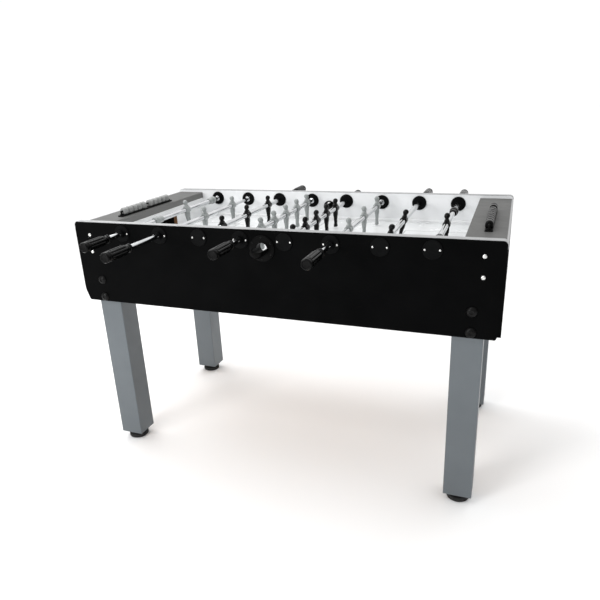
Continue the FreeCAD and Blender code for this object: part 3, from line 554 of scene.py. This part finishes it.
def cut_by(piece, cutter):
    """The piece's mesh with its modifiers applied and the cutter's shape taken out of it."""
    drill = piece.modifiers.new("drill", "BOOLEAN")
    drill.operation = "DIFFERENCE"
    drill.object = cutter
    bpy.context.view_layer.update()
    mesh = applied(piece)
    bpy.data.objects.remove(cutter)
    return mesh


def bored(piece, radius, start, end):
    """The piece's mesh with its modifiers applied and a round hole through it."""
    bore = mesh_of("bore", lambda form: cylinder(form, radius, start, end))
    return cut_by(piece, loose("bore", bore))


def figure_mesh():
    """One player, moulded as a single body and bored for the rod's tube."""
    piece = loose("figure_form", mesh_of("figure_form", figure_form))
    melt = piece.modifiers.new("melt", "REMESH")
    melt.mode = "VOXEL"
    melt.voxel_size = 0.8 * MM
    soften = piece.modifiers.new("soften", "SMOOTH")
    soften.factor = 0.5
    soften.iterations = 3
    thin = piece.modifiers.new("thin", "DECIMATE")
    thin.ratio = 0.4
    return bored(piece, TUBE_RADIUS + 0.02, (0, -20, 0), (0, 20, 0))


COLLAR = ((9.05, -23), (11.2, -23), (12.2, -22.2), (12.5, -21), (12.5, 1.2), (12.9, 2.2),
          (14.4, 3.0), (15.3, 4.6), (15.5, 6.5), (15.5, 20.6), (15.1, 22.0), (13.9, 22.9),
          (9.05, 23))


def ring_of_revolution(form, profile, sides):
    """Turned ring with a bore: the profile's ends are joined along the bore."""
    rings = []
    for radius, height in profile:
        rings.append([(radius * MM * math.cos(2 * math.pi * i / sides),
                       radius * MM * math.sin(2 * math.pi * i / sides), height * MM)
                      for i in range(sides)])
    loops = skin(form, rings, False, False)
    first, last = loops[0], loops[-1]
    for i in range(sides):
        form.faces.new((last[i], last[(i + 1) % sides], first[(i + 1) % sides], first[i]))


def collar_mesh():
    mesh = mesh_of("collar", lambda form: ring_of_revolution(form, COLLAR, 48))
    mesh.transform(Matrix.Rotation(math.radians(-90), 4, "X"))
    return mesh


def joined(name, parts):
    """One mesh from (mesh, matrix) parts."""
    form = bmesh.new()
    for mesh, matrix in parts:
        copy = mesh.copy()
        copy.transform(matrix)
        form.from_mesh(copy)
        bpy.data.meshes.remove(copy)
    mesh = bpy.data.meshes.new(name)
    form.to_mesh(mesh)
    form.free()
    return mesh


def make_players():
    figure, collar = figure_mesh(), collar_mesh()
    half_turn = Matrix.Rotation(math.pi, 4, "Z")
    for number in RODS:
        count = FIGURE_COUNT[number]
        low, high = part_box(f"rod_{number}_players")
        middle = Vector((rod_x(number), (low.y + high.y) / 2, ROD_HEIGHT))
        facing = Matrix.Identity(4) if grip_side(number) == FRONT else half_turn
        lean = Matrix.Rotation(math.radians(FIGURE_LEAN.get(number, 0)), 4, "Y")
        place = Matrix.Translation(middle) @ lean
        parts = []
        for i in range(count):
            offset = FIGURE_SPACING[count] * (i - (count - 1) / 2)
            parts.append((figure, place @ Matrix.Translation((0, offset, 0)) @ facing))
        if count == 1:
            for end in (-1, 1):
                turn = Matrix.Identity(4) if end > 0 else half_turn
                parts.append((collar, place @ Matrix.Translation((0, end * COLLAR_OFFSET, 0))
                              @ turn))
        grey = grip_side(number) == FRONT
        new_piece(f"rod_{number}_men", joined(f"rod_{number}_men", parts),
                  "grey" if grey else "gloss_black", f"rod_{number}",
                  "grey_plastic" if grey else "gloss_black", f"rod_{number}_players", sharp=50)


# ---------------------------------------------------------------- grips

GRIP_PROFILE = ((9.0, 0), (12.6, 0), (14.1, 0.5), (14.6, 2.0), (14.2, 4.6), (12.4, 6.4),
                (11.6, 9), (11.6, 13), (12.6, 17), (14.9, 22.5), (16.5, 28), (17.0, 34),
                (17.0, 98), (16.6, 104), (15.7, 106.4), (15.2, 107.2), (15.2, 109),
                (15.8, 109.8), (16.6, 110.4), (16.7, 114), (16.2, 117.4), (14.6, 119.4),
                (12.4, 120), (10.8, 119.6), (10.0, 118.4), (4.0, 118.0), (0.4, 118.0))
FLUTES, FLUTE_DEPTH = 9, 2.1
FLUTE_START, FLUTE_END, FLUTE_RUN = 24, 104, 9


def flute(angle, height):
    """Grooves that run out smoothly at both ends of the grip."""
    depth = min(1.0, max(0.0, min(height / MM - FLUTE_START, FLUTE_END - height / MM) / FLUTE_RUN))
    groove = (0.5 + 0.5 * math.cos(FLUTES * angle)) ** 3
    return -FLUTE_DEPTH * MM * math.sin(depth * math.pi / 2) * groove


def grip_mesh():
    """Fluted grip with its neck at the origin, its closed end towards +Z."""
    profile = []
    for (r1, h1), (r2, h2) in zip(GRIP_PROFILE, GRIP_PROFILE[1:]):
        steps = max(1, round((h2 - h1) / 2.5))
        profile += [(r1 + (r2 - r1) * i / steps, h1 + (h2 - h1) * i / steps)
                    for i in range(steps)]
    profile.append(GRIP_PROFILE[-1])
    return mesh_of("grip", lambda form: lathe(form, scaled(profile), FLUTES * 12, flute))


def make_grips():
    grip = grip_mesh()
    for number in RODS:
        low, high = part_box(f"rod_{number}_grip")
        side = grip_side(number)
        neck = high.y if side == FRONT else low.y
        turn = Matrix.Rotation(math.radians(-90 * side), 4, "X")
        place = Matrix.Translation((rod_x(number), neck, ROD_HEIGHT)) @ turn
        new_piece(f"rod_{number}_handle", joined(f"rod_{number}_handle", [(grip, place)]), "grip",
                  f"rod_{number}", "grip_black", f"rod_{number}_grip")


# ---------------------------------------------------------------- scorers

COUNTER_PITCH, COUNTER_LENGTH, COUNTER_HALF, COUNTER_ROUNDING = 28, 26.2, 12, 5.5
COUNTER_LOW, COUNTER_HIGH, CROWN_RADIUS, HEEL_RADIUS = -12.5, 12.5, 11, 6
COUNTER_BORE, CORNER_STEPS = 3.3, 6
WIRE_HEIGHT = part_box("counters_left_front")[0].z - COUNTER_LOW * MM


def counter_outline(inset, at):
    """Upright outline of a counter, round at the crown, drawn in by inset."""
    points = []
    corners = ((1, COUNTER_LOW, HEEL_RADIUS, -90), (1, COUNTER_HIGH, CROWN_RADIUS, 0),
               (-1, COUNTER_HIGH, CROWN_RADIUS, 90), (-1, COUNTER_LOW, HEEL_RADIUS, 180))
    for side, level, radius, start in corners:
        radius -= inset
        inward = math.copysign(1, level) * (inset + radius)
        for step in range(CORNER_STEPS + 1):
            angle = math.radians(start + 90 * step / CORNER_STEPS)
            points.append((side * (COUNTER_HALF - inset - radius) + radius * math.cos(angle), at,
                           level - inward + radius * math.sin(angle)))
    return scaled(points)


def counter_mesh():
    """Score counter with rounded ends and a bore for the wire, its front face at y = 0."""
    rings = []
    for step in range(CORNER_STEPS + 1):
        angle = math.radians(90 * step / CORNER_STEPS)
        rings.append((COUNTER_ROUNDING * (1 - math.sin(angle)),
                      COUNTER_ROUNDING * (1 - math.cos(angle))))
    rings += [(inset, COUNTER_LENGTH - at) for inset, at in reversed(rings)]
    shape = mesh_of("counter", lambda form: skin(form, [counter_outline(*r) for r in rings]))
    return bored(loose("counter", shape), COUNTER_BORE, (0, -5, 0), (0, COUNTER_LENGTH + 5, 0))


def make_counters():
    counter = counter_mesh()
    for side in ("left", "right"):
        for place in ("front", "rear"):
            body = f"counters_{side}_{place}"
            low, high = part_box(body)
            count = round((high.y - low.y) / (COUNTER_PITCH * MM))
            x = (low.x + high.x) / 2
            parts = [(counter, Matrix.Translation((x, low.y + i * COUNTER_PITCH * MM, WIRE_HEIGHT)))
                     for i in range(count)]
            new_piece(f"beads_{side}_{place}", joined(f"beads_{side}_{place}", parts),
                      "counter_grey" if side == "left" else "counter_black", body,
                      "grey_plastic" if side == "left" else "black_plastic", body, sharp=40)
    new_piece("counter_wires", NODES["scorer_wires"].data.copy(), "scorer", "cabinet",
              "black_plastic", "scorer_wires", sharp=40)


# ---------------------------------------------------------------- screws and bolt caps

CAP_PROFILE = ((0.3, -5.6), (3.2, -5.6), (4.4, -5.7), (4.8, -6.4), (5.2, -7.6), (6.2, -7.9),
               (8.4, -7.5), (11.2, -6.4), (13.6, -4.7), (15.2, -2.8), (15.9, -1.2), (16.0, 0.0),
               (5.0, 0.02), (5.0, 69), (0.3, 69))
SCREW_PROFILE = ((0.2, -1.3), (1.2, -1.35), (2.2, -1.5), (2.8, -1.1), (3.2, -0.5), (3.2, 0.0),
                 (1.6, 0.02), (1.6, 17), (0.2, 18))
BOLT_X, BOLT_HEIGHTS = 0.642, (0.614, 0.678)
PANEL_SCREW_X, PANEL_SCREW_HEIGHTS = 0.666, (0.782, 0.843)
FLANGE_SCREW, BUSH_PLATE = 0.02135, 0.004
ENTRY_HEIGHT, ENTRY_PLATE, ENTRY_CIRCLE = 0.830, 0.005, 0.0355


def crossed_head(name, head, dome, shank, length, cross, slot):
    """Domed screw with a cross-shaped recess, its head towards -Z and its seat at z = 0.

    The cross reaches the given distance from the axis, and slot is half its blades' width.
    """
    profile = [(0.1, -dome)]
    for step in range(1, CORNER_STEPS + 1):
        angle = math.radians(90 * step / CORNER_STEPS)
        profile.append((head * math.sin(angle), -dome * math.cos(angle)))
    profile += [(shank, 0.02), (shank, length), (0.1, length + 1)]

    mesh = mesh_of(name, lambda form: lathe(form, scaled(profile), 28))
    for wide, deep in ((cross, slot), (slot, cross)):
        size = Matrix.Diagonal((wide * MM, deep * MM, 0.6 * dome * MM, 1))
        place = Matrix.Translation((0, 0, -dome * MM)) @ size
        blade = mesh_of("blade", lambda form: bmesh.ops.create_cube(form, size=2, matrix=place))
        mesh = cut_by(loose(name, mesh), loose("blade", blade))
    return mesh


def make_bright_screws():
    """Panel screws, two at each end of a long side, and two in every rod bush's flange."""
    panel_head = crossed_head("panel_head", head=6.5, dome=2.8, shank=3, length=58,
                              cross=4.8, slot=1.0)
    flange_head = crossed_head("flange_head", head=3.2, dome=1.8, shank=1.6, length=16,
                               cross=2.0, slot=0.4)
    panel_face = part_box("back_panel")[1].y
    parts = []
    for side in (FRONT, BACK):
        turn = Matrix.Rotation(math.radians(90 * side), 4, "X")
        for end in (-1, 1):
            for height in PANEL_SCREW_HEIGHTS:
                place = Matrix.Translation((end * PANEL_SCREW_X, side * panel_face, height))
                # The crosses stop at different angles.
                twist = math.radians(35 * end + 400 * height)
                parts.append((panel_head, place @ turn @ Matrix.Rotation(twist, 4, "Z")))
        for number in RODS:
            for hand in (-1, 1):
                place = Matrix.Translation((rod_x(number) + hand * FLANGE_SCREW,
                                            side * (panel_face + BUSH_PLATE), ROD_HEIGHT))
                parts.append((flange_head, place @ turn))
    new_piece("cross_head_screws", joined("cross_head_screws", parts), "zinc", "cabinet",
              "bright_steel", "bright_screws")


def make_dark_fasteners():
    """Domed leg bolt caps, and the small screws round both ball entries."""
    cap = mesh_of("cap", lambda form: lathe(form, scaled(CAP_PROFILE), 40))
    screw = mesh_of("screw", lambda form: lathe(form, scaled(SCREW_PROFILE), 20))
    panel_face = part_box("back_panel")[1].y
    parts = []
    for side in (FRONT, BACK):
        turn = Matrix.Rotation(math.radians(90 * side), 4, "X")
        for end in (-1, 1):
            for height in BOLT_HEIGHTS:
                place = Matrix.Translation((end * BOLT_X, side * panel_face, height))
                parts.append((cap, place @ turn))
        for angle in range(30, 390, 60):
            place = Matrix.Translation((
                ENTRY_CIRCLE * math.cos(math.radians(angle)), side * (panel_face + ENTRY_PLATE),
                ENTRY_HEIGHT + ENTRY_CIRCLE * math.sin(math.radians(angle))))
            parts.append((screw, place @ turn))
    new_piece("caps_and_screws", joined("caps_and_screws", parts), "cap", "cabinet",
              "black_plastic", "dark_fasteners")


# ---------------------------------------------------------------- feet

PAD_PROFILE = ((0.4, 0), (33, 0), (34.6, 0.4), (36.2, 1.6), (37.0, 3.4), (37.0, 6.0),
               (36.5, 6.6), (36.5, 7.4), (37.0, 8.0), (37.0, 11.6), (36.4, 13.6), (34.8, 15.2),
               (32.6, 16.0), (31.4, 15.6), (30.4, 15.6), (29.2, 16.4), (24, 17.6), (19, 18.8),
               (17.6, 19.4), (0.4, 19.4))
HUB_PROFILE = ((0.4, 19.4), (15.4, 19.4), (16.2, 20.2), (16.2, 28.2), (15.4, 29.2), (0.4, 29.2))


def make_feet():
    pad = mesh_of("pad", lambda form: lathe(form, scaled(PAD_PROFILE), 72))
    hub = mesh_of("hub", lambda form: lathe(form, scaled(HUB_PROFILE), 6))
    for place in ("front_left", "back_left", "front_right", "back_right"):
        body = "foot_" + place
        low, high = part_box(body)
        centre = Matrix.Translation(((low.x + high.x) / 2, (low.y + high.y) / 2, low.z))
        new_piece(f"pad_{place}", joined(f"pad_{place}", [(pad, centre)]), "rubber", body,
                  "black_rubber", body)
        new_piece(f"hub_{place}", joined(f"hub_{place}", [(hub, centre)]), "zinc", body,
                  "bright_steel")
        new_piece(f"stem_{place}", joined(f"stem_{place}", [(stem_mesh(), centre)]), "zinc", body,
                  "bright_steel")


def stem_mesh():
    """Threaded stem above the hub: a ridge every 1.75 mm."""
    pitch, start, end = 1.75, 29.2, 89.5
    points = [(0.3, start)]
    turns = int((end - start) / pitch)
    for i in range(turns):
        base = start + i * pitch
        points += [(5.1, base), (5.95, base + 0.75), (5.95, base + 1.0)]
    points += [(5.1, start + turns * pitch), (0.3, end)]
    return mesh_of("stem", lambda form: lathe(form, scaled(points), 24))


make_players()
make_grips()
make_counters()
make_bright_screws()
make_dark_fasteners()
make_feet()

for name, width in EDGE_ROUNDING.items():
    rounding = NODES[name].modifiers.new("edge_rounding", "BEVEL")
    rounding.width = width * MM
    rounding.segments = 2
    rounding.limit_method = "ANGLE"
    rounding.angle_limit = math.radians(50)

# ---------------------------------------------------------------- floor, light and camera

FLOOR_COLOR = (0.97, 0.97, 0.97)
SHADE_SIDE, SHADE_FRONT, SKY_GAIN = 0.4, 0.32, 0.6   # studio to the right, in front, overhead


def make_floor():
    mesh = mesh_of("floor", lambda form: bmesh.ops.create_grid(
        form, x_segments=1, y_segments=1, size=30))
    floor = loose("floor", mesh)
    paint = Paint("pale_floor", FLOOR_COLOR, 0.9, specular=0.05)
    mesh.materials.append(paint.material)


def area_light(name, place, target, size, watts):
    data = bpy.data.lights.new(name, "AREA")
    data.shape = "RECTANGLE"
    data.size, data.size_y = size
    data.energy = watts
    light = bpy.data.objects.new(name, data)
    light.location = place
    light.rotation_euler = (Vector(target) - Vector(place)).to_track_quat("-Z", "Y").to_euler()
    bpy.context.scene.collection.objects.link(light)


def make_world():
    """White studio behind the table and overhead, darker to its right and in front of it."""
    world = bpy.data.worlds.new("studio")
    world.use_nodes = True
    tree = world.node_tree

    def node(kind, inputs, **settings):
        made = tree.nodes.new("ShaderNode" + kind)
        for name, value in settings.items():
            setattr(made, name, value)
        for key, value in inputs.items():
            if isinstance(value, bpy.types.NodeSocket):
                tree.links.new(value, made.inputs[key])
            else:
                made.inputs[key].default_value = value
        return made.outputs[0]

    direction = tree.nodes.new("ShaderNodeTexCoord").outputs["Generated"]
    split = tree.nodes.new("ShaderNodeSeparateXYZ")
    tree.links.new(direction, split.inputs[0])
    across = node("MapRange", {"Value": split.outputs[0], "From Min": 0.3, "From Max": 0.95,
                               "To Min": 1.02, "To Max": SHADE_SIDE})
    along = node("MapRange", {"Value": split.outputs[1], "From Min": 0.05, "From Max": -0.4,
                              "To Min": 1.0, "To Max": SHADE_FRONT})
    overhead = node("MapRange", {"Value": split.outputs[2], "From Min": 0.2, "From Max": 0.9,
                                 "To Min": 0.0, "To Max": SKY_GAIN})
    level = node("Math", {0: across, 1: along}, operation="MULTIPLY")
    strength = node("Math", {0: level, 1: overhead}, operation="ADD")
    background = tree.nodes["Background"]
    background.inputs["Color"].default_value = (1, 1, 1, 1)
    tree.links.new(strength, background.inputs["Strength"])
    bpy.context.scene.world = world


CAMERA_PLACE = Vector((0.72942, -1.92240, 1.27976))
CAMERA_YAW, CAMERA_PITCH, CAMERA_ROLL = 0.371949, 0.349728, -0.043376
SENSOR, IMAGE_SIDE, FOCAL_PIXELS = 36.0, 600, 564.52


def make_camera():
    """Camera at the height of an adult's chest, in front of the table and to its right."""
    sin_yaw, cos_yaw = math.sin(CAMERA_YAW), math.cos(CAMERA_YAW)
    forward = Vector((-sin_yaw * math.cos(CAMERA_PITCH), cos_yaw * math.cos(CAMERA_PITCH),
                      -math.sin(CAMERA_PITCH)))
    level = Vector((cos_yaw, sin_yaw, 0))
    upward = level.cross(forward)
    right = math.cos(CAMERA_ROLL) * level + math.sin(CAMERA_ROLL) * upward
    up = right.cross(forward)
    data = bpy.data.cameras.new("camera")
    data.sensor_width = SENSOR
    data.lens = FOCAL_PIXELS * SENSOR / IMAGE_SIDE
    data.clip_end = 100
    camera = bpy.data.objects.new("camera", data)
    turn = Matrix((right, up, -forward)).transposed().to_4x4()
    camera.matrix_world = Matrix.Translation(CAMERA_PLACE) @ turn
    bpy.context.scene.collection.objects.link(camera)
    bpy.context.scene.camera = camera


make_floor()
make_world()
area_light("overhead", (-1.5, 0.5, 2.3), (-0.5, 0, 0.8), (1.6, 1.6), 20)
area_light("front_left", (-1.8, -3.4, 1.6), (0, 0, 0.5), (1.4, 1.2), 55)
area_light("key", (-0.5, -1.9, 2.9), (-0.3, -0.4, 0.8), (0.8, 0.6), 16)
make_camera()
bpy.context.scene.view_settings.view_transform = "Standard"
